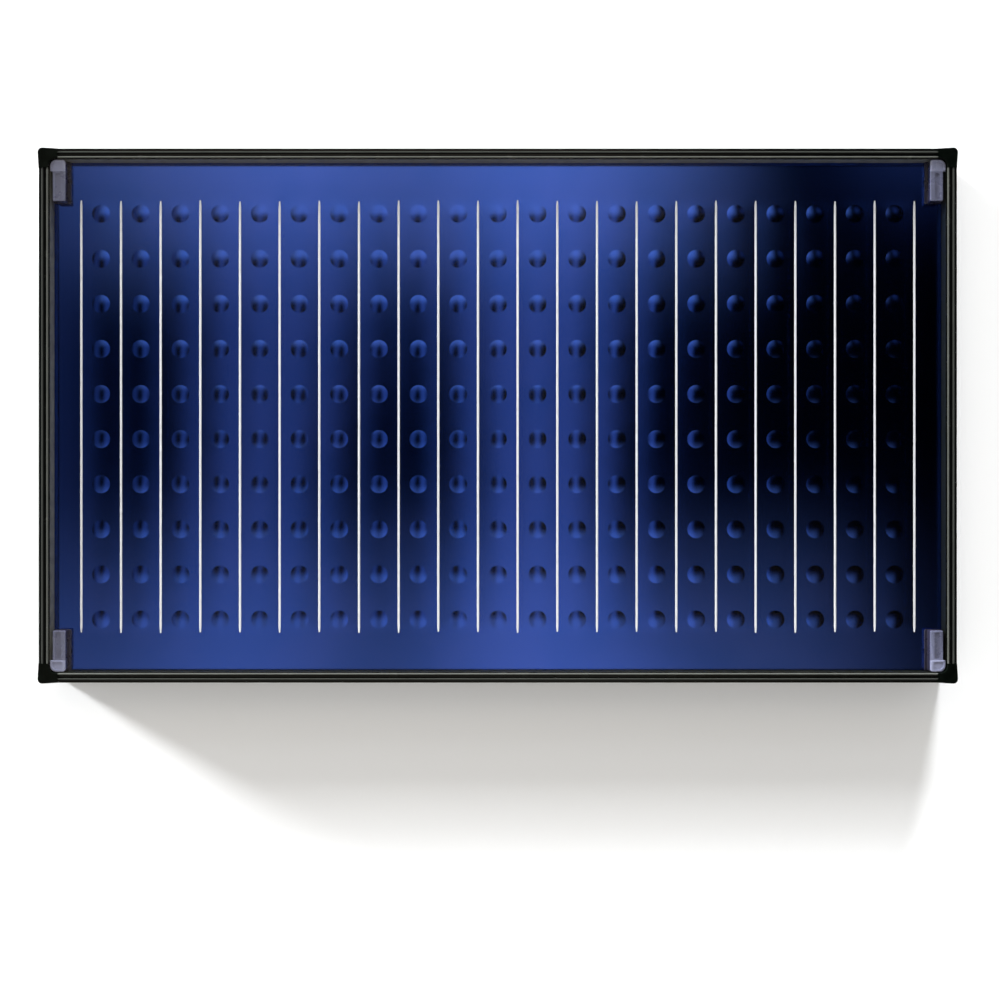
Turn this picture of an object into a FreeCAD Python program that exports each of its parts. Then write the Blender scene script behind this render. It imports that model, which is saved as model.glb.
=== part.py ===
"""Flat-plate solar water heating collector, lying on its back with the glass up.

Frame: +Z up through the glass, +X along the long side, +Y along the short side. The origin is the middle
of the underside. Millimetres.

A fibreglass channel on each side and a moulded piece at each corner make the case. A steel panel closes
it below, and tempered glass in rubber strips closes it above. Inside, a slab of mineral wool carries a
copper harp: thin risers brazed between two headers, welded under one selectively coated aluminium sheet
that is stiffened with rows of pressed domes. Each header ends in a socket that opens in the case's side.
"""
import FreeCAD
import Part
import Sketcher
from FreeCAD import Placement, Rotation, Vector

import math
import os
import re

SIZES = {
    # whole collector
    "overall_length": 2017,
    "overall_width": 1175,
    "overall_height": 87,
    "corner_bulge": 2,
    # channel section, measured inward from its outer face and up from the underside
    "channel_width": 22,
    "channel_wall": 2.2,
    "flange_width": 34,
    "flange_height": 3,
    "panel_slot_start": 6,
    "panel_slot_top": 4,
    "ledge_height": 79.3,
    "ridge_width": 11,
    "ridge_inner_height": 84.5,
    "ridge_outer_height": 82,
    "ridge_crest": 7.5,
    "ridge_crest_radius": 2,
    "chamber_floor": 6.2,
    "groove_bottom": 12,
    "groove_top": 22,
    "groove_depth": 7,
    # corner piece
    "corner_leg": 42,
    "corner_radius": 10,
    "corner_inner_radius": 15,
    "corner_wall": 3,
    "corner_cavity_top": 70,
    "cap_underside": 84.7,
    "cap_width": 21.2,
    "glass_recess_start": 12.3,
    "spigot_length": 30,
    "spigot_gap": 0.5,
    "lower_spigot_bottom": 8,
    "lower_spigot_top": 31,
    "upper_spigot_bottom": 65,
    "upper_spigot_top": 75,
    "vent_width": 3,
    "vent_height": 14,
    "vent_bottom": 30,
    "vent_pitch": 7,
    # glass and its rubber strips
    "glass_thickness": 3.2,
    "glass_bottom": 81.3,
    "glass_edge": 14.8,
    "glass_corner_radius": 6,
    "strip_outer": 11.6,
    "strip_web": 14.5,
    "strip_inner": 21.2,
    "strip_crest": 18,
    "strip_crest_height": 86.7,
    "strip_outer_height": 83.2,
    "strip_lip_height": 85.3,
    # back panel
    "panel_thickness": 0.5,
    "panel_edge": 8,
    "panel_corner_cut": 50,
    "bead_depth": 1.8,
    "bead_width": 26,
    "bead_length": 1780,
    "bead_pitch": 260,
    "bead_taper": 60,
    # mineral wool
    "wool_gap": 0.5,
    "wool_bottom": 3.8,
    "wool_top": 48.8,
    "wool_channel_floor": 32,
    "wool_channel_near": 472,
    "wool_channel_far": 540,
    # absorber sheet
    "sheet_bottom": 58,
    "sheet_thickness": 0.5,
    "sheet_gap": 1,
    "sheet_notch_length": 36.5,
    "sheet_notch_width": 90,
    "dome_radius": 20,
    "dome_height": 2.3,
    "dome_rows": 10,
    "dome_row_pitch": 100,
    # harp
    "riser_count": 22,
    "riser_pitch": 88,
    "riser_radius": 4,
    "riser_wall": 0.5,
    "riser_bend_radius": 30,
    "riser_bend_start": 500,
    "header_offset": 520,
    "header_height": 48,
    "header_radius": 9,
    "header_wall": 0.8,
    "header_half_length": 970,
    "seam_length": 960,
    "seam_width": 5,
    "seam_height": 0.4,
    # header socket and its grommet
    "socket_radius": 12,
    "socket_length": 45.5,
    "socket_recess": 1,
    "socket_header_depth": 10,
    "socket_bore_radius": 10,
    "socket_bore_start": 18,
    "socket_mouth": 1,
    "grommet_radius": 15,
    "grommet_length": 22,
    "grommet_flange_radius": 19,
    "grommet_flange": 1.5,
    # sensor pocket and its grommet
    "sensor_offset": 480,
    "sensor_height": 45,
    "sensor_radius": 4,
    "sensor_bore_radius": 3.1,
    "sensor_length": 130,
    "sensor_end_wall": 3,
    "sensor_recess": 1,
    "sensor_grommet_radius": 6.5,
    "sensor_flange_radius": 10,
    # light grey insert in each corner, between the socket and the glass
    "insert_length": 38.5,
    "insert_width": 91.5,
    "insert_gap": 0.5,
    "insert_height": 22.3,
    "insert_flange": 4.5,
    "insert_wall": 2,
    "insert_corner_radius": 14,
    "insert_rib_outer": 6,
    "insert_rib_inner": 34,
    "insert_head_inner": 33,
    "insert_head_end": 26,
    "insert_head_hollow_start": 6,
    "insert_trough_outer": 13,
    "insert_trough_inner": 23.5,
    "insert_trough_depth": 4,
    "insert_trough_end": 5,
    "insert_socket_gap": 1,
}

FACE_X = "(overall_length / 2 - corner_bulge)"
FACE_Y = "(overall_width / 2 - corner_bulge)"
SHEET_TOP = "(sheet_bottom + sheet_thickness)"
RISER_HEIGHT = "(sheet_bottom - riser_radius)"
GLASS_TOP = "(glass_bottom + glass_thickness)"

doc = FreeCAD.newDocument("collector")


# ---------------------------------------------------------------- helpers


def make_spreadsheet():
    made = doc.addObject("Spreadsheet::Sheet", "Sizes")
    for row, (alias, size) in enumerate(SIZES.items(), start=1):
        made.set(f"A{row}", alias.replace("_", " "))
        made.set(f"B{row}", str(size))
        made.setAlias(f"B{row}", alias)
    doc.recompute()
    return made


def bound(text):
    """The same sum, with each alias looked up in the spreadsheet."""
    return re.sub(r"[a-z][a-z_]*", lambda word: "Sizes." + word[0] if word[0] in SIZES else word[0], text)


def value(text):
    return float(spreadsheet.evalExpression(bound(text)))


def bind(thing, path, text):
    thing.setExpression(path, bound(text))


def new_body(label):
    made = doc.addObject("PartDesign::Body", label)
    made.Label = label
    return made


def place(thing, x="0", y="0", z="0", turn=0, axis=Vector(0, 0, 1)):
    """Puts a finished sub-part where it belongs, turned about axis by so many degrees."""
    thing.Placement = Placement(Vector(value(x), value(y), value(z)), Rotation(axis, turn))
    for name, text in zip("xyz", (x, y, z)):
        bind(thing, f"Placement.Base.{name}", text)


def datum(body, role):
    return next(item for item in body.Origin.OriginFeatures if item.Role == role)


def new_sketch(body, plane="XY_Plane", height="0", across="0", up="0"):
    """A sketch on one of the body's own planes, raised along its normal and shifted within it."""
    made = body.newObject("Sketcher::SketchObject", body.Label + "_sketch")
    made.AttachmentSupport = [(datum(body, plane), "")]
    made.MapMode = "FlatFace"
    for name, text in zip("xyz", (across, up, height)):
        bind(made, f"AttachmentOffset.Base.{name}", text)
    return made


def pin(sketch, geometry, point, x, y):
    """Holds a point of the sketch at two sums of the spreadsheet's sizes."""
    for kind, axis, text in (("DistanceX", -2, x), ("DistanceY", -1, y)):
        if text == "0":
            sketch.addConstraint(Sketcher.Constraint("PointOnObject", geometry, point, axis))
            continue
        made = sketch.addConstraint(Sketcher.Constraint(kind, -1, 1, geometry, point, value(text)))
        bind(sketch, f"Constraints[{made}]", text)


def draw_outline(sketch, corners):
    """A closed outline of straight sides; each corner is a pair of sums."""
    spots = [Vector(value(x), value(y), 0) for x, y in corners]
    first, count = sketch.GeometryCount, len(corners)
    for here, there in zip(spots, spots[1:] + spots[:1]):
        sketch.addGeometry(Part.LineSegment(here, there))
    for side in range(count):
        sketch.addConstraint(
            Sketcher.Constraint("Coincident", first + side, 2, first + (side + 1) % count, 1)
        )
    for side, (x, y) in enumerate(corners):
        pin(sketch, first + side, 1, x, y)


def draw_box(sketch, low, high):
    """A rectangle from its low corner to its high corner."""
    draw_outline(sketch, [low, (high[0], low[1]), high, (low[0], high[1])])


def draw_circle(sketch, x, y, radius):
    made = sketch.addGeometry(Part.Circle(Vector(value(x), value(y), 0), Vector(0, 0, 1), value(radius)))
    pin(sketch, made, 3, x, y)
    size = sketch.addConstraint(Sketcher.Constraint("Radius", made, value(radius)))
    bind(sketch, f"Constraints[{size}]", radius)


def pad(body, sketch, length, symmetric=False, taper=None):
    made = body.newObject("PartDesign::Pad", body.Label + "_pad")
    made.Profile = sketch
    made.SideType = "Symmetric" if symmetric else "One side"
    bind(made, "Length", length)
    if taper:
        bind(made, "TaperAngle", taper)
    doc.recompute()
    return made


def pocket(body, sketch, depth=None, symmetric=False, upward=False, taper=None):
    """Cuts a sketch's outline down through the body, or up through it, and checks that it cut something."""
    before = body.Shape.Volume
    made = body.newObject("PartDesign::Pocket", body.Label + "_pocket")
    made.Profile = sketch
    made.SideType = "Symmetric" if symmetric else "One side"
    made.Reversed = upward
    if depth is None:
        made.Type = "ThroughAll"
    else:
        bind(made, "Length", depth)
    if taper:
        bind(made, "TaperAngle", taper)
    doc.recompute()
    if made.Shape.Volume >= before:
        raise RuntimeError(f"{made.Name} cuts nothing")
    return made


def revolve(body, sketch, axis="H_Axis", kind="PartDesign::Revolution"):
    made = body.newObject(kind, body.Label + "_turned")
    made.Profile = sketch
    made.ReferenceAxis = (sketch, [axis])
    made.Angle = 360
    doc.recompute()
    return made


def round_edges(body, base, radius, wanted):
    """Rounds the edges whose midpoint passes the test."""
    names = [
        f"Edge{number}"
        for number, edge in enumerate(base.Shape.Edges, start=1)
        if wanted(edge, edge.CenterOfMass)
    ]
    made = body.newObject("PartDesign::Fillet", body.Label + "_rounded")
    made.Base = (base, names)
    bind(made, "Radius", radius)
    doc.recompute()
    return made


def is_near(found, text):
    return abs(found - value(text)) < 0.01


def is_at(mid, first, second):
    return is_near(mid.x, first) and is_near(mid.y, second)


def is_upright(edge):
    box = edge.BoundBox
    return box.XLength < 1e-6 and box.YLength < 1e-6 and box.ZLength > 0


# ---------------------------------------------------------------- case


def frame_channel(label, length, holes=()):
    """One side of the case. Its outer face lies on local y = 0, inward is +y, and it runs along local x."""
    body = new_body(label)
    section = new_sketch(body, "YZ_Plane")
    draw_outline(
        section,
        [
            ("0", "0"),
            ("flange_width", "0"),
            ("flange_width", "flange_height"),
            ("panel_slot_start", "flange_height"),
            ("panel_slot_start", "panel_slot_top"),
            ("channel_width", "panel_slot_top"),
            ("channel_width", "ledge_height"),
            ("ridge_width", "ledge_height"),
            ("ridge_width", "ridge_inner_height"),
            ("ridge_crest", "overall_height"),
            ("0", "ridge_outer_height"),
            ("0", "groove_top"),
            ("groove_depth", "groove_top"),
            ("groove_depth", "groove_bottom"),
            ("0", "groove_bottom"),
        ],
    )
    draw_outline(
        section,
        [
            ("channel_wall", "groove_top + channel_wall"),
            ("groove_depth + channel_wall", "groove_top + channel_wall"),
            ("groove_depth + channel_wall", "chamber_floor"),
            ("channel_width - channel_wall", "chamber_floor"),
            ("channel_width - channel_wall", "ledge_height - channel_wall"),
            ("channel_wall", "ledge_height - channel_wall"),
        ],
    )
    bar = pad(body, section, length, symmetric=True)
    round_edges(
        body,
        bar,
        "ridge_crest_radius",
        lambda edge, mid: is_near(mid.y, "ridge_crest") and is_near(mid.z, "overall_height"),
    )
    for across, height, radius in holes:
        hole = new_sketch(body, "XZ_Plane")
        draw_circle(hole, across, height, radius)
        pocket(body, hole, symmetric=True)
    return body


def frame_channels():
    header_holes = [
        ("header_offset", "header_height", "grommet_radius"),
        ("-header_offset", "header_height", "grommet_radius"),
    ]
    sensor_hole = [("sensor_offset", "sensor_height", "sensor_grommet_radius")]
    long_side, short_side = f"2 * ({FACE_X} - corner_leg)", f"2 * ({FACE_Y} - corner_leg)"
    place(frame_channel("frame_channel_front", long_side), y=f"-{FACE_Y}")
    place(frame_channel("frame_channel_rear", long_side), y=FACE_Y, turn=180)
    place(frame_channel("frame_channel_left", short_side, header_holes), x=f"-{FACE_X}", turn=-90)
    place(
        frame_channel("frame_channel_right", short_side, header_holes + sensor_hole), x=FACE_X, turn=90
    )


def corner_outline(sketch, inner):
    """Plan of a corner piece: flared outer sides, and legs as wide as inner."""
    draw_outline(
        sketch,
        [
            ("-corner_bulge", "-corner_bulge"),
            ("corner_radius", "-corner_bulge"),
            ("corner_leg", "0"),
            ("corner_leg", inner),
            (inner, inner),
            (inner, "corner_leg"),
            ("0", "corner_leg"),
            ("-corner_bulge", "corner_radius"),
        ],
    )


def corner_piece(label):
    """A moulded corner. The two channels' outer faces meet at its local origin, and inward is +x and +y."""
    body = new_body(label)
    block = new_sketch(body)
    corner_outline(block, "channel_width")
    pad(body, block, "ledge_height")
    foot = new_sketch(body)
    draw_box(foot, ("corner_wall", "corner_wall"), ("corner_leg", "flange_width"))
    pad(body, foot, "flange_height")
    foot = new_sketch(body)
    draw_box(foot, ("corner_wall", "corner_wall"), ("flange_width", "corner_leg"))
    pad(body, foot, "flange_height")
    cap = new_sketch(body, height="ledge_height")
    corner_outline(cap, "cap_width")
    solid = pad(body, cap, "overall_height - ledge_height")
    solid = round_edges(
        body,
        solid,
        "corner_radius",
        lambda edge, mid: is_upright(edge) and is_at(mid, "-corner_bulge", "-corner_bulge"),
    )
    solid = round_edges(
        body,
        solid,
        "corner_inner_radius",
        lambda edge, mid: is_upright(edge) and is_at(mid, "channel_width", "channel_width"),
    )
    solid = round_edges(
        body,
        solid,
        "corner_inner_radius",
        lambda edge, mid: is_upright(edge) and is_at(mid, "cap_width", "cap_width"),
    )

    glass_recess = new_sketch(body, height="cap_underside")
    far = "corner_leg + channel_width"
    draw_box(glass_recess, ("glass_recess_start", "glass_recess_start"), (far, far))
    pocket(body, glass_recess, "cap_underside - glass_bottom")

    cavity = new_sketch(body)
    near, across = "corner_wall", "channel_width - corner_wall"
    end = "corner_leg - corner_wall"
    draw_outline(
        cavity, [(near, near), (end, near), (end, across), (across, across), (across, end), (near, end)]
    )
    pocket(body, cavity, "corner_cavity_top", upward=True)

    for level, outer in (("lower", "groove_depth + channel_wall"), ("upper", "channel_wall")):
        low = ("corner_leg", f"{outer} + spigot_gap")
        high = ("corner_leg + spigot_length", "channel_width - channel_wall - spigot_gap")
        for corners in ((low, high), (low[::-1], high[::-1])):
            spigot = new_sketch(body, height=f"{level}_spigot_bottom")
            draw_box(spigot, *corners)
            pad(body, spigot, f"{level}_spigot_top - {level}_spigot_bottom")

    for plane in ("XZ_Plane", "YZ_Plane"):
        vents = new_sketch(body, plane)
        for slot in range(3):
            start = f"corner_leg / 2 + {slot - 1} * vent_pitch - vent_width / 2"
            draw_box(vents, (start, "vent_bottom"), (f"{start} + vent_width", "vent_bottom + vent_height"))
        pocket(body, vents, "2 * (corner_wall + corner_bulge)", symmetric=True)
    return body


def corner_pieces():
    place(corner_piece("corner_piece_front_left"), x=f"-{FACE_X}", y=f"-{FACE_Y}")
    place(corner_piece("corner_piece_front_right"), x=FACE_X, y=f"-{FACE_Y}", turn=90)
    place(corner_piece("corner_piece_rear_right"), x=FACE_X, y=FACE_Y, turn=180)
    place(corner_piece("corner_piece_rear_left"), x=f"-{FACE_X}", y=FACE_Y, turn=270)


def back_panel():
    """Thin steel sheet that lies on the channels' flanges, with three shallow beads pressed outward."""
    body = new_body("back_panel")
    plan = new_sketch(body)
    end_x, end_y = f"({FACE_X} - panel_edge)", f"({FACE_Y} - panel_edge)"
    cut_x, cut_y = f"({end_x} - panel_corner_cut)", f"({end_y} - panel_corner_cut)"
    draw_outline(
        plan,
        [
            (f"-{cut_x}", f"-{end_y}"),
            (cut_x, f"-{end_y}"),
            (end_x, f"-{cut_y}"),
            (end_x, cut_y),
            (cut_x, end_y),
            (f"-{cut_x}", end_y),
            (f"-{end_x}", cut_y),
            (f"-{end_x}", f"-{cut_y}"),
        ],
    )
    pad(body, plan, "panel_thickness")
    for row in (-1, 0, 1):
        ridge = new_sketch(body)
        low_y, high_y = f"{row} * bead_pitch - bead_width / 2", f"{row} * bead_pitch + bead_width / 2"
        draw_box(ridge, ("-bead_length / 2", low_y), ("bead_length / 2", high_y))
        raised = pad(body, ridge, "bead_depth", taper="-bead_taper")
        raised.Reversed = True
        doc.recompute()
        hollow = new_sketch(body, height="panel_thickness")
        draw_box(hollow, ("-bead_length / 2", low_y), ("bead_length / 2", high_y))
        pocket(body, hollow, "bead_depth", taper="-bead_taper")
    place(body, z="flange_height")


def wool_slab():
    """Mineral wool cut to the case, with a channel across each end of the risers for a header."""
    body = new_body("wool_slab")
    plan = new_sketch(body)
    end_x = f"({FACE_X} - channel_width - wool_gap)"
    end_y = f"({FACE_Y} - channel_width - wool_gap)"
    draw_box(plan, (f"-{end_x}", f"-{end_y}"), (end_x, end_y))
    slab = pad(body, plan, "wool_top - wool_bottom")
    round_edges(body, slab, "corner_inner_radius", lambda edge, mid: is_upright(edge))
    cuts = new_sketch(body, height="wool_top - wool_bottom")
    draw_box(cuts, (f"-{end_x} - 1", "wool_channel_near"), (f"{end_x} + 1", "wool_channel_far"))
    draw_box(cuts, (f"-{end_x} - 1", "-wool_channel_far"), (f"{end_x} + 1", "-wool_channel_near"))
    pocket(body, cuts, "wool_top - wool_channel_floor")
    place(body, z="wool_bottom")


def glass_pane():
    body = new_body("glass_pane")
    plan = new_sketch(body)
    end_x, end_y = f"({FACE_X} - glass_edge)", f"({FACE_Y} - glass_edge)"
    draw_box(plan, (f"-{end_x}", f"-{end_y}"), (end_x, end_y))
    pane = pad(body, plan, "glass_thickness")
    round_edges(body, pane, "glass_corner_radius", lambda edge, mid: is_upright(edge))
    place(body, z="glass_bottom")


def glazing_strip(label, length):
    """Rubber strip with a slot for the glass, in the same local axes as the channel that holds it."""
    body = new_body(label)
    section = new_sketch(body, "YZ_Plane")
    draw_outline(
        section,
        [
            ("strip_outer", "ledge_height"),
            ("strip_inner", "ledge_height"),
            ("strip_inner", "glass_bottom"),
            ("strip_web", "glass_bottom"),
            ("strip_web", GLASS_TOP),
            ("strip_inner", GLASS_TOP),
            ("strip_inner", "strip_lip_height"),
            ("strip_crest", "strip_crest_height"),
            ("strip_outer", "strip_outer_height"),
        ],
    )
    strip = pad(body, section, length, symmetric=True)
    round_edges(
        body,
        strip,
        "ridge_crest_radius",
        lambda edge, mid: is_near(mid.y, "strip_crest") and is_near(mid.z, "strip_crest_height"),
    )
    return body


def glazing_strips():
    long_side, short_side = f"2 * ({FACE_X} - corner_leg)", f"2 * ({FACE_Y} - corner_leg)"
    place(glazing_strip("glazing_strip_front", long_side), y=f"-{FACE_Y}")
    place(glazing_strip("glazing_strip_rear", long_side), y=FACE_Y, turn=180)
    place(glazing_strip("glazing_strip_left", short_side), x=f"-{FACE_X}", turn=-90)
    place(glazing_strip("glazing_strip_right", short_side), x=FACE_X, turn=90)


# ---------------------------------------------------------------- absorber and harp


def absorber_sheet():
    """One thin sheet, notched at the corners, with a grid of pressed domes between the risers."""
    body = new_body("absorber_sheet")
    plan = new_sketch(body)
    end_x = f"({FACE_X} - channel_width - sheet_gap)"
    end_y = f"({FACE_Y} - channel_width - sheet_gap)"
    in_x = f"({FACE_X} - channel_width - sheet_notch_length)"
    in_y = f"({FACE_Y} - channel_width - sheet_notch_width)"
    draw_outline(
        plan,
        [
            (f"-{in_x}", f"-{end_y}"),
            (in_x, f"-{end_y}"),
            (in_x, f"-{in_y}"),
            (end_x, f"-{in_y}"),
            (end_x, in_y),
            (in_x, in_y),
            (in_x, end_y),
            (f"-{in_x}", end_y),
            (f"-{in_x}", in_y),
            (f"-{end_x}", in_y),
            (f"-{end_x}", f"-{in_y}"),
            (f"-{in_x}", f"-{in_y}"),
        ],
    )
    pad(body, plan, "sheet_thickness")
    first_x = "-(riser_count - 2) / 2 * riser_pitch"
    first_y = "(dome_rows - 1) / 2 * dome_row_pitch"
    sphere = (value("dome_radius") ** 2 + value("dome_height") ** 2) / (2 * value("dome_height"))
    pressed = []
    for base, kind in (("sheet_thickness", "PartDesign::Revolution"), ("0", "PartDesign::Groove")):
        cap = new_sketch(body, "XZ_Plane", height=first_y, across=first_x, up=base)
        rim, top = value("dome_radius"), value("dome_height")
        middle = Vector(sphere * math.sin(math.asin(rim / sphere) / 2), 0, 0)
        middle.y = top - sphere + math.sqrt(sphere**2 - middle.x**2)
        cap.addGeometry(Part.LineSegment(Vector(0, 0, 0), Vector(rim, 0, 0)))
        cap.addGeometry(Part.Arc(Vector(rim, 0, 0), middle, Vector(0, top, 0)))
        cap.addGeometry(Part.LineSegment(Vector(0, top, 0), Vector(0, 0, 0)))
        cap.addConstraint(Sketcher.Constraint("Coincident", 0, 2, 1, 1))
        cap.addConstraint(Sketcher.Constraint("Coincident", 1, 2, 2, 1))
        cap.addConstraint(Sketcher.Constraint("Coincident", 2, 2, 0, 1))
        pin(cap, 0, 1, "0", "0")
        pin(cap, 0, 2, "dome_radius", "0")
        pin(cap, 2, 1, "0", "dome_height")
        cap.addConstraint(Sketcher.Constraint("PointOnObject", 1, 3, -2))
        pressed.append(revolve(body, cap, "V_Axis", kind))
    grid = body.newObject("PartDesign::LinearPattern", "dome_grid")
    grid.Originals = pressed
    grid.Direction = (datum(body, "X_Axis"), [""])
    grid.Direction2 = (datum(body, "Y_Axis"), [""])
    grid.Mode = grid.Mode2 = "Spacing"
    bind(grid, "Offset", "riser_pitch")
    bind(grid, "Offset2", "dome_row_pitch")
    bind(grid, "Occurrences", "riser_count - 1")
    bind(grid, "Occurrences2", "dome_rows")
    body.Tip = grid
    place(body, z="sheet_bottom")


def weld_seams():
    """The bright line that the weld leaves on the sheet over each riser, as 22 flat strips."""
    body = new_body("weld_seams")
    line = new_sketch(body)
    draw_box(
        line,
        ("-(riser_count - 1) / 2 * riser_pitch - seam_width / 2", "-seam_length / 2"),
        ("-(riser_count - 1) / 2 * riser_pitch + seam_width / 2", "seam_length / 2"),
    )
    strip = pad(body, line, "seam_height")
    row = body.newObject("PartDesign::LinearPattern", "seam_row")
    row.Originals = [strip]
    row.Direction = (datum(body, "X_Axis"), [""])
    row.Mode = "Spacing"
    bind(row, "Offset", "riser_pitch")
    bind(row, "Occurrences", "riser_count")
    body.Tip = row
    place(body, z=SHEET_TOP)


def riser_tube(number):
    """A thin tube along y. Each end drops in an S-bend to enter the side of a header."""
    body = new_body(f"riser_tube_{number:02d}")
    radius, rise = value("riser_bend_radius"), value(RISER_HEIGHT) - value("header_height")
    lean = math.acos(1 - rise / (2 * radius))
    start, low, high = value("riser_bend_start"), value("header_height"), value(RISER_HEIGHT)
    half, end = radius * math.sin(lean), value("header_offset - header_radius + header_wall / 2")

    spine = new_sketch(body, "YZ_Plane")
    lower, upper = Vector(start, low + radius, 0), Vector(start - 2 * half, high - radius, 0)
    meet = Vector(start - half, (low + high) / 2, 0)
    normal = Vector(0, 0, 1)
    spine.addGeometry(Part.LineSegment(Vector(end, low, 0), Vector(start, low, 0)))
    down = -math.pi / 2
    spine.addGeometry(Part.ArcOfCircle(Part.Circle(lower, normal, radius), down - lean, down))
    spine.addGeometry(Part.ArcOfCircle(Part.Circle(upper, normal, radius), -down - lean, -down))
    spine.addGeometry(Part.LineSegment(Vector(upper.x, high, 0), Vector(0, high, 0)))
    spine.addConstraint(Sketcher.Constraint("Tangent", 0, 2, 1, 2))
    spine.addConstraint(Sketcher.Constraint("Tangent", 1, 1, 2, 1))
    spine.addConstraint(Sketcher.Constraint("Tangent", 2, 2, 3, 1))
    for arc in (1, 2):
        size = spine.addConstraint(Sketcher.Constraint("Radius", arc, radius))
        bind(spine, f"Constraints[{size}]", "riser_bend_radius")
    pin(spine, 0, 1, "header_offset - header_radius + header_wall / 2", "header_height")
    pin(spine, 0, 2, "riser_bend_start", "header_height")
    pin(spine, 3, 2, "0", RISER_HEIGHT)
    spine.addConstraint(Sketcher.Constraint("Horizontal", 3))

    ring = new_sketch(body, "XZ_Plane")
    draw_circle(ring, "0", RISER_HEIGHT, "riser_radius")
    draw_circle(ring, "0", RISER_HEIGHT, "riser_radius - riser_wall")
    doc.recompute()
    half_tube = body.newObject("PartDesign::AdditivePipe", "half_tube")
    half_tube.Profile = ring
    half_tube.Spine = spine
    doc.recompute()
    whole = body.newObject("PartDesign::Mirrored", "both_halves")
    whole.Originals = [half_tube]
    whole.MirrorPlane = (datum(body, "XZ_Plane"), [""])
    body.Tip = whole
    place(body, x=f"({number} - (riser_count + 1) / 2) * riser_pitch")


def header_tube(label, side):
    """A tube along x, drilled for the risers on its inward side. Side is 1 at the rear, -1 at the front."""
    body = new_body(label)
    ring = new_sketch(body, "YZ_Plane")
    draw_circle(ring, "0", "0", "header_radius")
    draw_circle(ring, "0", "0", "header_radius - header_wall")
    pad(body, ring, "2 * header_half_length", symmetric=True)
    hole = new_sketch(body, "XZ_Plane")
    draw_circle(hole, "-(riser_count - 1) / 2 * riser_pitch", "0", "riser_radius")
    drilled = pocket(body, hole, "2 * header_radius", upward=side > 0)
    row = body.newObject("PartDesign::LinearPattern", "riser_holes")
    row.Originals = [drilled]
    row.Direction = (datum(body, "X_Axis"), [""])
    row.Mode = "Spacing"
    bind(row, "Offset", "riser_pitch")
    bind(row, "Occurrences", "riser_count")
    body.Tip = row
    place(body, y=f"{side} * header_offset", z="header_height")


def ends_and_sides():
    """Each end of each header: its name, its sign along x, its sign along y and its turn about z."""
    return [
        ("front_left", -1, -1, 180),
        ("front_right", 1, -1, 0),
        ("rear_right", 1, 1, 0),
        ("rear_left", -1, 1, 180),
    ]


def header_socket(name, side_x, side_y, turn):
    """Turned brass socket. Its inner end takes the header, and a push-in connector enters the outer end."""
    body = new_body("header_socket_" + name)
    section = new_sketch(body, "XZ_Plane")
    draw_outline(
        section,
        [
            ("0", "header_radius"),
            ("socket_header_depth", "header_radius"),
            ("socket_header_depth", "header_radius - header_wall"),
            ("socket_bore_start", "header_radius - header_wall"),
            ("socket_bore_start", "socket_bore_radius"),
            ("socket_length - socket_mouth", "socket_bore_radius"),
            ("socket_length", "socket_bore_radius + socket_mouth"),
            ("socket_length", "socket_radius"),
            ("0", "socket_radius"),
        ],
    )
    revolve(body, section)
    place(
        body,
        x=f"{side_x} * ({FACE_X} - socket_recess - socket_length)",
        y=f"{side_y} * header_offset",
        z="header_height",
        turn=turn,
    )


def header_grommet(name, side_x, side_y, turn):
    """Rubber sleeve that seals a socket in the two walls of the channel."""
    body = new_body("header_grommet_" + name)
    section = new_sketch(body, "XZ_Plane")
    draw_outline(
        section,
        [
            ("-grommet_length", "socket_radius"),
            ("grommet_flange", "socket_radius"),
            ("grommet_flange", "grommet_flange_radius - grommet_flange"),
            ("0", "grommet_flange_radius"),
            ("0", "grommet_radius"),
            ("-grommet_length", "grommet_radius"),
        ],
    )
    revolve(body, section)
    place(body, x=f"{side_x} * {FACE_X}", y=f"{side_y} * header_offset", z="header_height", turn=turn)


def sensor_pocket():
    """Closed tube under the last riser that takes a temperature sensor from the side of the case."""
    body = new_body("sensor_pocket")
    section = new_sketch(body, "XZ_Plane")
    draw_outline(
        section,
        [
            ("0", "0"),
            ("sensor_end_wall", "0"),
            ("sensor_end_wall", "sensor_bore_radius"),
            ("sensor_length", "sensor_bore_radius"),
            ("sensor_length", "sensor_radius"),
            ("0", "sensor_radius"),
        ],
    )
    revolve(body, section)
    place(body, x=f"{FACE_X} - sensor_recess - sensor_length", y="sensor_offset", z="sensor_height")


def sensor_grommet():
    body = new_body("sensor_grommet")
    section = new_sketch(body, "XZ_Plane")
    draw_outline(
        section,
        [
            ("-grommet_length", "sensor_radius"),
            ("grommet_flange", "sensor_radius"),
            ("grommet_flange", "sensor_flange_radius - grommet_flange"),
            ("0", "sensor_flange_radius"),
            ("0", "sensor_grommet_radius"),
            ("-grommet_length", "sensor_grommet_radius"),
        ],
    )
    revolve(body, section)
    place(body, x=FACE_X, y="sensor_offset", z="sensor_height")


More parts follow.
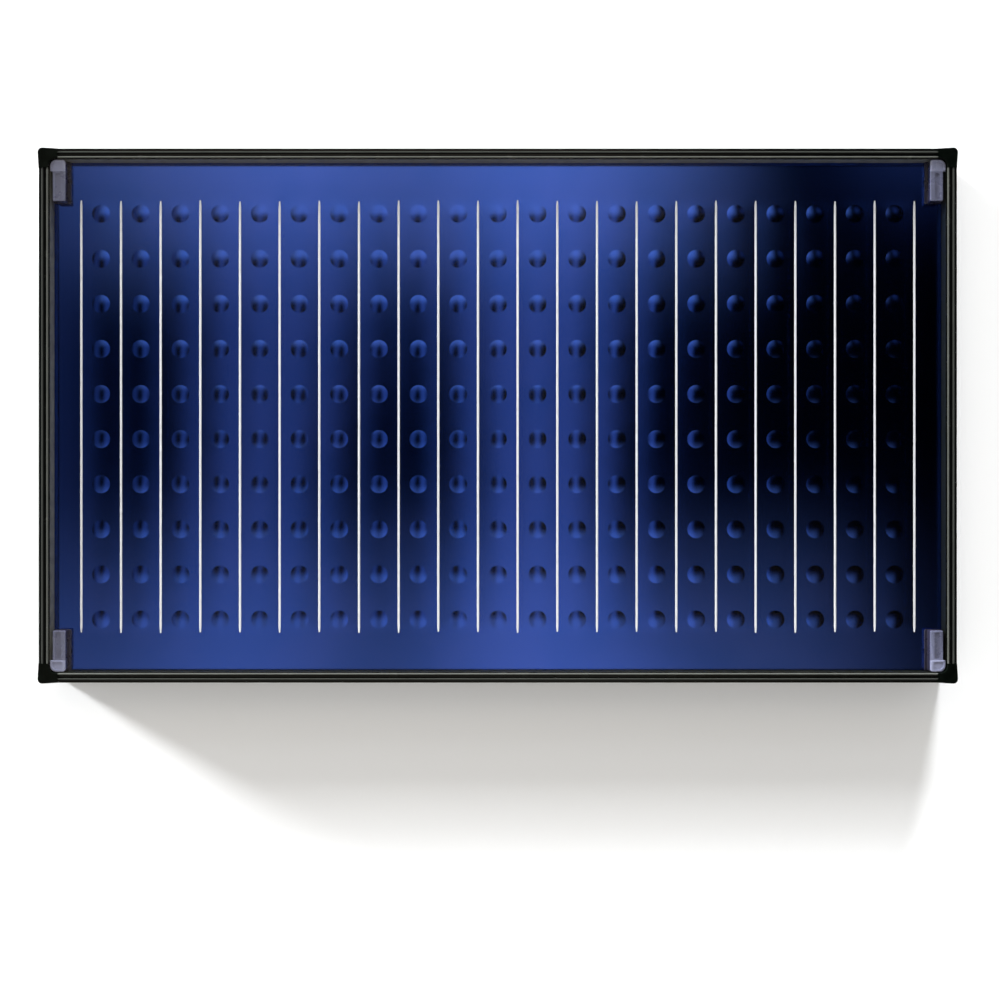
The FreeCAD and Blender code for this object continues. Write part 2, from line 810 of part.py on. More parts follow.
def corner_insert(name, side_x, side_y, _):
    """Thin light moulding that bridges a notch of the sheet, over a socket, and rests on the sheet's edges."""
    body = new_body("corner_insert_" + name)

    def box(sketch, low, high):
        corners = [(f"-{side_x} * ({along})", f"-{side_y} * ({across})") for along, across in (low, high)]
        draw_box(sketch, *corners)

    flange = new_sketch(body)
    box(flange, ("0", "0"), ("insert_length", "insert_width"))
    pad(body, flange, "insert_flange")
    rib = new_sketch(body)
    box(rib, ("insert_rib_outer", "0"), ("insert_rib_inner", "insert_width"))
    pad(body, rib, "insert_height")
    head = new_sketch(body)
    box(head, ("0", "0"), ("insert_head_inner", "insert_head_end"))
    solid = pad(body, head, "insert_height")
    round_edges(
        body,
        solid,
        "insert_corner_radius",
        lambda edge, mid: is_upright(edge) and is_at(mid, "0", "0"),
    )
    trough = new_sketch(body, height="insert_height")
    box(
        trough,
        ("insert_trough_outer", "insert_head_end + insert_trough_end"),
        ("insert_trough_inner", "insert_width - insert_trough_end"),
    )
    pocket(body, trough, "insert_trough_depth")
    below_rib = new_sketch(body)
    box(
        below_rib,
        ("insert_rib_outer + insert_wall", "insert_head_end"),
        ("insert_rib_inner - insert_wall", "insert_width - insert_wall"),
    )
    pocket(body, below_rib, "insert_height - insert_trough_depth - insert_wall", upward=True)
    below_head = new_sketch(body)
    box(
        below_head,
        ("insert_head_hollow_start", "insert_head_hollow_start"),
        ("insert_head_inner - insert_wall", "insert_head_end - insert_wall"),
    )
    pocket(body, below_head, "insert_height - insert_wall", upward=True)
    saddle = new_sketch(body, "YZ_Plane")
    draw_circle(
        saddle,
        f"-{side_y} * ({FACE_Y} - channel_width - insert_gap - header_offset)",
        f"header_height - {SHEET_TOP}",
        "socket_radius + insert_socket_gap",
    )
    pocket(body, saddle, symmetric=True)
    place(
        body,
        x=f"{side_x} * ({FACE_X} - channel_width - insert_gap)",
        y=f"{side_y} * ({FACE_Y} - channel_width - insert_gap)",
        z=SHEET_TOP,
    )


# ---------------------------------------------------------------- build and write


def check(sub_parts):
    doc.recompute()
    for thing in doc.Objects:
        if {"Invalid", "Error"} & set(thing.State):
            raise RuntimeError(f"{thing.Name} is {thing.State}")
    for thing in sub_parts:
        if thing.Shape.isNull() or not thing.Shape.isValid() or not thing.Shape.Solids:
            raise RuntimeError(f"{thing.Label} has no valid solid")


def write(sub_parts):
    os.makedirs("parts", exist_ok=True)
    for thing in sub_parts:
        thing.Shape.exportStep(os.path.join("parts", thing.Label + ".step"))
        print(thing.Label, len(thing.Shape.Solids), "solid(s)", round(thing.Shape.Volume / 1000, 1), "cm3")


spreadsheet = make_spreadsheet()
frame_channels()
corner_pieces()
back_panel()
wool_slab()
glass_pane()
glazing_strips()
absorber_sheet()
weld_seams()
for tube_number in range(1, int(value("riser_count")) + 1):
    riser_tube(tube_number)
header_tube("header_tube_rear", 1)
header_tube("header_tube_front", -1)
for header_end in ends_and_sides():
    header_socket(*header_end)
    header_grommet(*header_end)
    corner_insert(*header_end)
sensor_pocket()
sensor_grommet()

bodies = [thing for thing in doc.Objects if thing.TypeId == "PartDesign::Body"]
check(bodies)
write(bodies)
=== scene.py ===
import math
import random

import bmesh
import bpy
from mathutils import Matrix, Vector


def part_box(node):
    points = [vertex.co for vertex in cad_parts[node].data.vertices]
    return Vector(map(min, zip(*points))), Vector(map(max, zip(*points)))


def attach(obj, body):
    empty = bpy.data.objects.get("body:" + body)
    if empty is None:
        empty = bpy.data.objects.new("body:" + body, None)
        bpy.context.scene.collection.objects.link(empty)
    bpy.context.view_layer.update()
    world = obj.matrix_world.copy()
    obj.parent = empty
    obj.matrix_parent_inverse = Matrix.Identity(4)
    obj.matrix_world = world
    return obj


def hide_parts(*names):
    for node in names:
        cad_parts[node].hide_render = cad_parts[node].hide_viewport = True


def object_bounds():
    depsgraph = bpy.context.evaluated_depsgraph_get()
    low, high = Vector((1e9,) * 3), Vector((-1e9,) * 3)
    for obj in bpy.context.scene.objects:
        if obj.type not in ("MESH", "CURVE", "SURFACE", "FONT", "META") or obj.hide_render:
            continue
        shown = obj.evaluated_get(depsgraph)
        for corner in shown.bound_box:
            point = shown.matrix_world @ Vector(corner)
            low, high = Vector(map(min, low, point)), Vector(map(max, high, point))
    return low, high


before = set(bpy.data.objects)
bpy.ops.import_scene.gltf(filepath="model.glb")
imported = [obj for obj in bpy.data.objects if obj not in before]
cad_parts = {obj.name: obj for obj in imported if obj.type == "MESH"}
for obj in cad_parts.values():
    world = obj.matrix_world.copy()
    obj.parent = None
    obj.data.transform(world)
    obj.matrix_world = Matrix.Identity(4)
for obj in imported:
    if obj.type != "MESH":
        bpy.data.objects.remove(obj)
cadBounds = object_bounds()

# A glazed flat-plate collector, lying with its glass up. The sizes in the dictionaries are millimetres.
mm = 0.001
tiny = 0.05 * mm  # anything closer counts as touching
alongX = Vector((1, 0, 0))
alongY = Vector((0, 1, 0))
alongZ = Vector((0, 0, 1))
random.seed(7)


# Shader maths: a Signal is one output socket, and takes part in Python sums

class Signal:
    def __init__(self, nodes, socket):
        self.nodes = nodes
        self.socket = socket

    def sum(self, operation, first, second):
        return self.nodes.add("Math", {"operation": operation}, {0: first, 1: second})

    def __add__(self, other):
        return self.sum("ADD", self, other)

    def __radd__(self, other):
        return self.sum("ADD", other, self)

    def __sub__(self, other):
        return self.sum("SUBTRACT", self, other)

    def __rsub__(self, other):
        return self.sum("SUBTRACT", other, self)

    def __mul__(self, other):
        return self.sum("MULTIPLY", self, other)

    def __rmul__(self, other):
        return self.sum("MULTIPLY", other, self)

    def __abs__(self):
        return self.sum("ABSOLUTE", self, 0)


class NodeTree:
    def __init__(self, owner):
        owner.use_nodes = True
        self.owner = owner
        self.tree = owner.node_tree
        self.tree.nodes.clear()

    def add(self, kind, settings=None, sockets=None, output=0):
        node = self.tree.nodes.new("ShaderNode" + kind)
        for name, setting in (settings or {}).items():
            setattr(node, name, setting)
        for name, value in (sockets or {}).items():
            if isinstance(value, Signal):
                self.tree.links.new(value.socket, node.inputs[name])
            elif node.inputs[name].type == "RGBA":
                node.inputs[name].default_value = (*value, 1)
            else:
                node.inputs[name].default_value = value
        return Signal(self, node.outputs[output]) if node.outputs else None

    def spots(self, scale=(1, 1, 1)):
        # every piece has its origin at the collector's centre, so the mapping needs no shift
        place = self.add("TexCoord", output=3)
        return self.add("Mapping", {}, {"Vector": place, "Scale": scale})

    def axes(self, *numbers):
        node = self.add("SeparateXYZ", {}, {"Vector": self.spots()}).socket.node
        return [Signal(self, node.outputs[number]) for number in numbers]

    def noise(self, scale, detail=2, stretch=(1, 1, 1), roughness=0.5):
        sockets = {"Vector": self.spots(stretch), "Scale": scale, "Detail": detail, "Roughness": roughness}
        return self.add("TexNoise", {}, sockets)

    def fade(self, value, start, end, low=0, high=1):
        sockets = {"Value": value, "From Min": start, "From Max": end, "To Min": low, "To Max": high}
        return self.add("MapRange", {"interpolation_type": "SMOOTHSTEP"}, sockets)

    def blend(self, factor, first, second):
        return self.add("Mix", {"data_type": "RGBA"}, {0: factor, 6: first, 7: second}, output=2)

    def bump(self, height, depth, strength=1):
        return self.add("Bump", {}, {"Height": height, "Distance": depth * mm, "Strength": strength})

    def shine(self, **sockets):
        named = {name.replace("_", " "): value for name, value in sockets.items()}
        self.show(self.add("BsdfPrincipled", {}, named))
        return self.owner

    def show(self, shader):
        self.add("OutputMaterial", {}, {"Surface": shader})
        return self.owner


def newFinish(name):
    return NodeTree(bpy.data.materials.new(name))


# Mesh helpers

def onlyVerts(geometry):
    return [item for item in geometry if isinstance(item, bmesh.types.BMVert)]


def rectangle(low, high, radius=0.0):
    return [(*low, radius), (high[0], low[1], radius), (*high, radius), (low[0], high[1], radius)]


# points are (across, up, corner radius); the outline is drawn at start and pulled to end
def prism(points, start, end, across=alongX, up=alongY):
    shape = bmesh.new()
    axis = across.cross(up)
    corners = [shape.verts.new((across * a + up * b + axis * start) * mm) for a, b, radius in points]
    shape.faces.new(corners)
    for corner, (a, b, radius) in zip(corners, points):
        if radius:
            bmesh.ops.bevel(
                shape, geom=[corner], affect="VERTICES", offset=radius * mm, offset_type="OFFSET",
                segments=3 + round(radius / 2), profile=0.5, material=-1,
            )
    grown = bmesh.ops.extrude_face_region(shape, geom=shape.faces[:])["geom"]
    bmesh.ops.translate(shape, verts=onlyVerts(grown), vec=axis * (end - start) * mm)
    return shape


def soften(shape, width, segments, chosen):
    edges = [edge for edge in shape.edges if chosen(edge)]
    bmesh.ops.bevel(
        shape, geom=edges, affect="EDGES", offset=width * mm, offset_type="OFFSET",
        segments=segments, profile=0.5, material=-1,
    )


def bothAt(edge, axis, height):
    return all(abs(vert.co[axis] - height * mm) < tiny for vert in edge.verts)


def turned(points, sides=48):
    # an outline (along, radius, corner radius) turned about the x axis
    shape = prism(points, 0, 1, alongX, alongZ)
    far = [vert for vert in shape.verts if vert.co.y < -tiny]
    bmesh.ops.delete(shape, geom=far, context="VERTS")
    bmesh.ops.delete(shape, geom=shape.faces[:], context="FACES_ONLY")
    bmesh.ops.spin(
        shape, geom=shape.verts[:] + shape.edges[:], cent=(0, 0, 0), axis=alongX, dvec=(0, 0, 0),
        angle=math.tau, steps=sides, use_merge=True,
    )
    bmesh.ops.remove_doubles(shape, verts=shape.verts[:], dist=tiny / 10)
    return shape


def settle(name, shape, *finishes):
    bmesh.ops.recalc_face_normals(shape, faces=shape.faces[:])
    mesh = bpy.data.meshes.new(name)
    shape.to_mesh(mesh)
    shape.free()
    for finish in finishes:
        mesh.materials.append(finish)
    piece = bpy.data.objects.new(name, mesh)
    bpy.context.scene.collection.objects.link(piece)
    return piece


def modify(piece, kind, **settings):
    modifier = piece.modifiers.new(kind.lower(), kind)
    for name, setting in settings.items():
        setattr(modifier, name, setting)


def freeze(piece):
    # the modifiers become part of the mesh
    old = piece.data
    view = bpy.context.evaluated_depsgraph_get()
    piece.data = bpy.data.meshes.new_from_object(piece.evaluated_get(view))
    piece.modifiers.clear()
    bpy.data.meshes.remove(old)
    piece.data.name = piece.name


def carve(piece, *tools):
    # each tool is (operation, shape); a shape is used up
    helpers = [settle("tool", shape) for operation, shape in tools]
    for (operation, shape), helper in zip(tools, helpers):
        modify(piece, "BOOLEAN", operation=operation, object=helper, solver="EXACT")
    freeze(piece)
    for helper in helpers:
        bpy.data.objects.remove(helper)


def finishEdges(piece, width, segments=2, angle=38):
    # small round edges, with the flat faces left flat
    piece.data.polygons.foreach_set("use_smooth", [True] * len(piece.data.polygons))
    if width:
        modify(
            piece, "BEVEL", width=width * mm, segments=segments, limit_method="ANGLE",
            angle_limit=math.radians(angle), use_clamp_overlap=True,
        )
        freeze(piece)
    piece.data.set_sharp_from_angle(angle=math.radians(angle))
    modify(piece, "WEIGHTED_NORMAL", keep_sharp=True)
    freeze(piece)


def mount(piece, slotName, *nodes):
    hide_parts(*nodes)
    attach(piece, "root")


def stand(piece, x, y, z=0, turn=0):
    # puts a mesh made in its own axes into the collector's
    place = Matrix.Translation((x, y, z)) @ Matrix.Rotation(math.radians(turn), 4, "Z")
    piece.data.transform(place)


# Case: one channel and one glazing strip on each side, a moulded piece at each corner

caseBox = [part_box("frame_channel_" + side) for side in ("left", "front", "right", "rear")]
faceX = caseBox[2][1].x
faceY = caseBox[3][1].y
sides = {
    # name: x, y, turn, half length
    "front": (0, -faceY, 0, caseBox[1][1].x),
    "rear": (0, faceY, 180, caseBox[3][1].x),
    "left": (-faceX, 0, -90, caseBox[0][1].y),
    "right": (faceX, 0, 90, caseBox[2][1].y),
}
corners = {
    "front_left": (-1, -1, 0),
    "front_right": (1, -1, 90),
    "rear_right": (1, 1, 180),
    "rear_left": (-1, 1, 270),
}

channel = {
    # inward from the outer face, up from the underside, corner radius
    "outline": [
        (0, 0, 0.6), (34, 0, 0.6), (34, 3, 0.6), (6, 3, 0.2), (6, 4, 0.2), (22, 4, 0.6), (22, 79.3, 0.6),
        (11, 79.3, 0.3), (11, 84.2, 0.5), (8.6, 87, 1.1), (5.2, 84.7, 0.7), (0, 84.5, 0.15), (0, 22, 0.8),
        (7, 22, 0.6), (7, 12, 0.6), (0, 12, 0.8),
    ],
    "chamber": [
        (2.2, 24.2, 1), (9.2, 24.2, 1), (9.2, 6.2, 1), (19.8, 6.2, 1), (19.8, 77.1, 1), (2.2, 77.1, 1),
    ],
    "overrun": 5,  # how far a cutting shape passes the end of the bar
    "portHoles": [(520, 48, 15), (-520, 48, 15)],  # along, up, radius
    "sensorHole": (480, 45, 6.5),
    "holeDepth": 30,
    "innerWall": 22,
    "black": (0.0009, 0.0013, 0.0010),
    "worn": (0.0030, 0.0038, 0.0032),
    # crest and crestHeights: a painted glint, grey over the black along the top of the crest
    "crest": (0.036, 0.039, 0.035),
    "crestHeights": (85.4, 86.5),
    # wall tones: one grey, painted lit for the left and rear walls and painted in shade for the front and
    # right
    "litWallPale": (0.140, 0.138, 0.128),
    "litWallDull": (0.085, 0.084, 0.078),
    "shadedWallPale": (0.006, 0.007, 0.006),
    "shadedWallDull": (0.003, 0.004, 0.003),
}


def pultrudedBlack(name, lengthwise):
    # drawn fibreglass: streaks run along the bar under a faint orange-peel skin. The crest is black too,
    # and its grey stands in for a glint that these soft lamps don't give.
    nodes = newFinish(name)
    thin = tuple(0.03 if axis == lengthwise else 1 for axis in range(3))
    streaks = nodes.noise(420, 3, thin)
    drift = nodes.noise(6, 3)
    peel = nodes.noise(900, 2)
    fibres = nodes.fade(streaks, 0.45, 0.75)
    skin = nodes.blend(fibres * 0.55 + nodes.fade(drift, 0.4, 0.7) * 0.25, channel["black"], channel["worn"])
    [height] = nodes.axes(2)
    low, high = (level * mm for level in channel["crestHeights"])
    colour = nodes.blend(nodes.fade(height, low, high) * (0.7 + fibres * 0.3), skin, channel["crest"])
    bump = nodes.bump(streaks * 0.7 + peel * 0.3, 0.12, 0.35)
    return nodes.shine(
        Base_Color=colour, Roughness=0.16 + streaks * 0.06 + drift * 0.05, Normal=bump,
        Specular_IOR_Level=0.14,
    )


def resinGrey(name, dull, pale):
    # the wall between glass and absorber. All four are one colour on such a case: the paler and the darker
    # finish stand in for light that comes from the front and right only.
    nodes = newFinish(name)
    dust = nodes.noise(55, 5)
    speck = nodes.noise(1400, 2)
    colour = nodes.blend(nodes.fade(dust, 0.3, 0.7), dull, pale)
    return nodes.shine(
        Base_Color=colour, Roughness=0.42 + dust * 0.25, Normal=nodes.bump(speck, 0.08, 0.4),
    )


def makeChannel(side, skin, wall):
    x, y, turn, half = sides[side]
    length = half / mm
    past = length + channel["overrun"]
    bar = prism(channel["outline"], -length, length, alongY, alongZ)
    for face in bar.faces:
        if abs(face.calc_center_median().y - channel["innerWall"] * mm) < tiny:
            face.material_index = 1
    piece = settle("sideChannel_" + side, bar, skin, wall)
    cuts = [("DIFFERENCE", prism(channel["chamber"], -past, past, alongY, alongZ))]
    holes = list(channel["portHoles"]) if side in ("left", "right") else []
    if side == "right":
        holes.append(channel["sensorHole"])
    for along, up, radius in holes:
        drill = bmesh.new()
        bmesh.ops.create_cone(
            drill, cap_ends=True, segments=48, radius1=radius * mm, radius2=radius * mm,
            depth=2 * channel["holeDepth"] * mm,
            matrix=Matrix.Translation((along * mm, 0, up * mm)) @ Matrix.Rotation(math.pi / 2, 4, "X"),
        )
        cuts.append(("DIFFERENCE", drill))
    carve(piece, *cuts)
    finishEdges(piece, 0)
    stand(piece, x, y, turn=turn)
    mount(piece, "case_black", "frame_channel_" + side)


blackAlongX = pultrudedBlack("pultrudedBlackAlongX", 0)
blackAlongY = pultrudedBlack("pultrudedBlackAlongY", 1)
paintedLitWall = resinGrey("resinGreyPaintedLit", channel["litWallDull"], channel["litWallPale"])
paintedShadedWall = resinGrey("resinGreyPaintedShade", channel["shadedWallDull"], channel["shadedWallPale"])
# left and rear inner walls take the painted-lit copy, front and right walls the painted-shade copy
for side in sides:
    makeChannel(
        side, blackAlongX if side in ("front", "rear") else blackAlongY,
        paintedLitWall if side in ("left", "rear") else paintedShadedWall,
    )
print("channels made")

strip = {
    "outline": [
        (11.6, 79.3, 0.3), (21.2, 79.3, 0.6), (21.2, 81.3, 0.3), (14.5, 81.3, 0.2), (14.5, 84.5, 0.2),
        (21.2, 84.5, 0.2), (21.2, 85.6, 0.3), (18.9, 86.7, 0.7), (14.8, 83.5, 0.7), (11.6, 83.2, 0.3),
    ],
    "rubber": (0.0016, 0.0021, 0.0018),
    "bloom": (0.0050, 0.0058, 0.0052),
    # crest and crestHeights: a painted glint, grey over the black rubber along the lip
    "crest": (0.062, 0.066, 0.061),
    "crestHeights": (84.7, 86.0),
}


def sealRubber(name):
    # extruded rubber: a grey bloom and tiny specks. The lip's paler tone stands in for its glint.
    nodes = newFinish(name)
    bloom = nodes.noise(24, 5)
    speck = nodes.noise(1700, 1)
    spread = nodes.fade(bloom, 0.4, 0.75) * 0.7 + nodes.fade(speck, 0.62, 0.7) * 0.3
    skin = nodes.blend(spread, strip["rubber"], strip["bloom"])
    [height] = nodes.axes(2)
    low, high = (level * mm for level in strip["crestHeights"])
    colour = nodes.blend(nodes.fade(height, low, high) * (0.75 + bloom * 0.4), skin, strip["crest"])
    return nodes.shine(
        Base_Color=colour, Roughness=0.20 + bloom * 0.12, Normal=nodes.bump(speck, 0.06, 0.3),
        Specular_IOR_Level=0.16,
    )


def makeStrip(side, rubber):
    x, y, turn, half = sides[side]
    length = half / mm
    piece = settle("glazingSeal_" + side, prism(strip["outline"], -length, length, alongY, alongZ), rubber)
    finishEdges(piece, 0)
    stand(piece, x, y, turn=turn)
    mount(piece, "seal_rubber", "glazing_strip_" + side)


rubber = sealRubber("sealRubber")
for side in sides:
    makeStrip(side, rubber)
print("glazing seals made")

cornerCap = {
    "outline": [
        (-2, -2, 10), (10, -2, 0), (42, 0, 0), (42, 21.6, 0), (21.6, 21.6, 15), (21.6, 42, 0), (0, 42, 0),
        (-2, 10, 0),
    ],
    "reach": 42,  # along the channels, from the outer corner
    "height": 87,
    "topRound": 1.7,
    "recess": (12.3, 64, 81.3, 84.7),  # from, to, bottom, top
    "cavity": [(3, 3, 1), (39, 3, 1), (39, 19, 1), (19, 19, 1), (19, 39, 1), (3, 39, 1)],
    "cavityTop": 70,
    "feet": [((3, 3), (42, 34)), ((3, 3), (34, 42))],
    "footHeight": 3,
    "spigots": [((9.7, 19.3), (8, 31)), ((2.7, 19.3), (65, 75))],  # across, up
    "spigotReach": (41, 72),
    "vents": (14, 21, 28),
    "ventSize": (3, 30, 44),  # width, bottom, top
    "ventRound": 1.4,
    "ventDepth": 5,
    "edge": 0.5,
    "black": (0.0006, 0.0012, 0.0008),
    "grain": (0.0015, 0.0024, 0.0018),
}


def mouldedBlack(name):
    # moulded plastic with a fine spark-eroded grain
    nodes = newFinish(name)
    grain = nodes.add("TexVoronoi", {"feature": "SMOOTH_F1"}, {"Vector": nodes.spots(), "Scale": 1500})
    haze = nodes.noise(60, 4)
    colour = nodes.blend(nodes.fade(haze, 0.35, 0.75), cornerCap["black"], cornerCap["grain"])
    return nodes.shine(
        Base_Color=colour, Roughness=0.18 + haze * 0.08 + grain * 0.04, Normal=nodes.bump(grain, 0.03, 0.25),
        Specular_IOR_Level=0.08,
    )


def makeCorner(name, plastic):
    signX, signY, turn = corners[name]
    body = prism(cornerCap["outline"], 0, cornerCap["height"])
    # the edges that butt against the channels stay sharp
    reach = cornerCap["reach"]
    butts = [edge for edge in body.edges if bothAt(edge, 0, reach) or bothAt(edge, 1, reach)]
    top = cornerCap["height"]
    soften(body, cornerCap["topRound"], 4, lambda edge: bothAt(edge, 2, top) and edge not in butts)
    piece = settle("cornerMoulding_" + name, body, plastic)
    low, high, bottom, top = cornerCap["recess"]
    tools = [
        ("DIFFERENCE", prism(rectangle((low, low), (high, high)), bottom, top)),
        ("DIFFERENCE", prism(cornerCap["cavity"], -1, cornerCap["cavityTop"])),
    ]
    for lowSpot, highSpot in cornerCap["feet"]:
        tools.append(("UNION", prism(rectangle(lowSpot, highSpot, 0.6), 0, cornerCap["footHeight"])))
    near, far = cornerCap["spigotReach"]
    for (inner, outer), (bottom, top) in cornerCap["spigots"]:
        tools.append(("UNION", prism(rectangle((near, inner), (far, outer), 0.8), bottom, top)))
        tools.append(("UNION", prism(rectangle((inner, near), (outer, far), 0.8), bottom, top)))
    width, bottom, top = cornerCap["ventSize"]
    depth = cornerCap["ventDepth"]
    for along in cornerCap["vents"]:
        slot = rectangle((along - width / 2, bottom), (along + width / 2, top), cornerCap["ventRound"])
        tools.append(("DIFFERENCE", prism(slot, -depth, depth, alongX, alongZ)))
        sideSlot = [(up, across, radius) for across, up, radius in slot]
        tools.append(("DIFFERENCE", prism(sideSlot, -depth, depth, alongZ, alongY)))
    carve(piece, *tools)
    finishEdges(piece, cornerCap["edge"])
    stand(piece, signX * faceX, signY * faceY, turn=turn)
    mount(piece, "corner_black", "corner_piece_" + name)


plastic = mouldedBlack("mouldedBlack")
for name in corners:
    makeCorner(name, plastic)
print("corner mouldings made")

# Glass

pane = {
    "cornerRadius": 6,
    "edge": 0.6,
    "tint": (0.975, 0.985, 0.98),
    "rim": (0.35, 0.62, 0.52),
    "rimWidth": 3,
    "reflection": 1.25,  # less than even coated glass, so that the dark sides of the domes stay dark
    "roughness": 0.05,
}


def solarGlass(name, halfX, halfY):
    nodes = newFinish(name)
    x, y = nodes.axes(0, 1)
    inset = nodes.add("Math", {"operation": "MAXIMUM"}, {0: abs(x) - halfX, 1: abs(y) - halfY})
    rim = nodes.fade(inset, -pane["rimWidth"] * mm, 0)
    middle = nodes.add("BsdfTransparent", {}, {"Color": pane["tint"]})
    edge = nodes.add("BsdfTransparent", {}, {"Color": pane["rim"]})
    clear = nodes.add("MixShader", {}, {0: rim, 1: middle, 2: edge})
    roll = nodes.bump(nodes.noise(160, 2), 0.02, 0.12)
    gloss = nodes.add(
        "BsdfGlossy", {}, {"Color": (1, 1, 1), "Roughness": pane["roughness"], "Normal": roll}
    )
    front = 1 - nodes.add("NewGeometry", output=6)
    amount = nodes.add("Fresnel", {}, {"IOR": pane["reflection"]}) * front
    return nodes.show(nodes.add("MixShader", {}, {0: amount, 1: clear, 2: gloss}))


def makePane():
    low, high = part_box("glass_pane")
    plan = rectangle(low.xy / mm, high.xy / mm, pane["cornerRadius"])
    shape = prism(plan, low.z / mm, high.z / mm)
    soften(shape, pane["edge"], 2, lambda edge: bothAt(edge, 2, low.z / mm) or bothAt(edge, 2, high.z / mm))
    piece = settle("glassPane", shape, solarGlass("solarGlass", high.x, high.y))
    finishEdges(piece, 0)
    mount(piece, "glass", "glass_pane")


makePane()
print("glass made")

# Absorber sheet, its domes, and the weld seams over the risers

firstRiser, lastRiser = (sum(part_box("riser_tube_" + number), Vector()) / 2 for number in ("01", "22"))

absorber = {
    "columns": 21,
    "rows": 10,
    "rowPitch": 100,
    "domeRadius": 20,
    "domeHeight": 2.3,
    "domeSides": 24,
    "domeRings": (0.2, 0.38),  # steps inward from the rim, as shares of the radius
    "archHeight": 0.55,  # how far the sheet bulges between two seams
    "archEnd": 482,
    "archFade": 30,
    "thickness": 0.5,
    "notchX": 948,
    "notchY": 473.5,
    "blue": (0.031, 0.089, 0.50),
    "violet": (0.040, 0.097, 0.53),
    "roughness": 0.11,
}


def absorberBlue(name):
    # selective coating on rolled aluminium: hairlines along x, and a slow drift of the coating's tone
    nodes = newFinish(name)
    hairlines = nodes.noise(900, 2, (0.02, 1, 1))
    cloud = nodes.noise(7, 3)
    colour = nodes.blend(nodes.fade(cloud, 0.35, 0.65), absorber["blue"], absorber["violet"])
    roughness = absorber["roughness"] + hairlines * 0.03 + cloud * 0.03
    return nodes.shine(
        Base_Color=colour, Metallic=1, Roughness=roughness, Normal=nodes.bump(hairlines, 0.02, 0.25),
    )


def makeAbsorber():
    low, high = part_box("absorber_sheet")
    pitchX = (lastRiser.x - firstRiser.x) / absorber["columns"]
    pitchY = absorber["rowPitch"] * mm
    radius = absorber["domeRadius"] * mm
    shape = bmesh.new()
    bmesh.ops.create_circle(shape, cap_ends=True, radius=radius, segments=absorber["domeSides"])
    cap = shape.faces[:]
    for step in absorber["domeRings"]:
        bmesh.ops.inset_region(
            shape, faces=cap, thickness=radius * step, use_even_offset=True, use_boundary=True,
        )
    bmesh.ops.poke(shape, faces=cap)
    rim = [edge for edge in shape.edges if edge.is_boundary]
    for edge in rim:
        edge.smooth = False
    grown = bmesh.ops.extrude_edge_only(shape, edges=rim)["geom"]
    outer = onlyVerts(grown)
    for vert in outer:
        x, y = vert.co.xy
        if abs(abs(x) - abs(y)) < tiny / 10:
            vert.co = (math.copysign(pitchX / 2, x), math.copysign(pitchY / 2, y), 0)
        else:
            vert.co *= min(pitchX / 2 / max(abs(x), tiny), pitchY / 2 / max(abs(y), tiny))
    spokes = {edge for vert in outer for edge in vert.link_edges if edge.other_vert(vert) not in outer}
    bmesh.ops.subdivide_edges(shape, edges=list(spokes), cuts=1, use_grid_fill=True)

    cell = shape.verts[:] + shape.edges[:] + shape.faces[:]
    for column in range(absorber["columns"]):
        for row in range(absorber["rows"]):
            copy = bmesh.ops.duplicate(shape, geom=cell)["geom"]
            spot = (firstRiser.x + (column + 0.5) * pitchX, (row + 0.5 - absorber["rows"] / 2) * pitchY, 0)
            bmesh.ops.translate(shape, verts=onlyVerts(copy), vec=spot)
    bmesh.ops.delete(shape, geom=onlyVerts(cell), context="VERTS")
    bmesh.ops.remove_doubles(shape, verts=shape.verts[:], dist=tiny)

    gridX, gridY = lastRiser.x, absorber["rows"] / 2 * pitchY
    margins = ((1, -gridY, low.y), (1, gridY, high.y), (0, -gridX, low.x), (0, gridX, high.x))
    for axis, border, reach in margins:
        edges = [edge for edge in shape.edges if edge.is_boundary and bothAt(edge, axis, border / mm)]
        for vert in onlyVerts(bmesh.ops.extrude_edge_only(shape, edges=edges)["geom"]):
            vert.co[axis] = reach
    for axis, place in ((0, absorber["notchX"]), (1, absorber["notchY"])):
        for sign in (-1, 1):
            spot = Vector((0, 0, 0))
            spot[axis] = sign * place * mm
            normal = (alongX, alongY)[axis]
            everything = shape.verts[:] + shape.edges[:] + shape.faces[:]
            bmesh.ops.bisect_plane(shape, geom=everything, dist=tiny / 10, plane_co=spot, plane_no=normal)
    notches = [
        face for face in shape.faces
        if abs(face.calc_center_median().x) > absorber["notchX"] * mm
        and abs(face.calc_center_median().y) > absorber["notchY"] * mm
    ]
    bmesh.ops.delete(shape, geom=notches, context="FACES")

    top = high.z - absorber["domeHeight"] * mm
    archHeight = absorber["archHeight"] * mm
    for vert in shape.verts:
        across = (vert.co.x - firstRiser.x) / pitchX % 1
        lengthwise = (vert.co.y / pitchY) % 1
        inGrid = abs(vert.co.x) < gridX + tiny and abs(vert.co.y) < gridY + tiny
        fromEnd = (absorber["archEnd"] * mm - abs(vert.co.y)) / (absorber["archFade"] * mm)
        share = max(0, min(1, fromEnd))
        arch = archHeight * 4 * across * (1 - across) * share * share * (3 - 2 * share) if inGrid else 0
        reach = math.hypot((across - 0.5) * pitchX, (lengthwise - 0.5) * pitchY) / radius
        dome = (high.z - top - archHeight) * max(0, 1 - reach * reach) if inGrid else 0
        vert.co.z = top + arch + dome
    for edge in shape.edges:
        middle = (edge.verts[0].co + edge.verts[1].co) / 2
        along = (middle.x - firstRiser.x) / pitchX
        onSeam = abs(along - round(along)) < 0.001 and abs(edge.verts[0].co.x - edge.verts[1].co.x) < tiny
        if edge.is_boundary or onSeam and abs(middle.y) < gridY:
            edge.smooth = False
    piece = settle("absorberSheet", shape, absorberBlue("absorberBlue"))
    piece.data.polygons.foreach_set("use_smooth", [True] * len(piece.data.polygons))
    modify(piece, "SOLIDIFY", thickness=absorber["thickness"] * mm, offset=-1)
    freeze(piece)
    mount(piece, "absorber_blue", "absorber_sheet")


makeAbsorber()
print("absorber made")

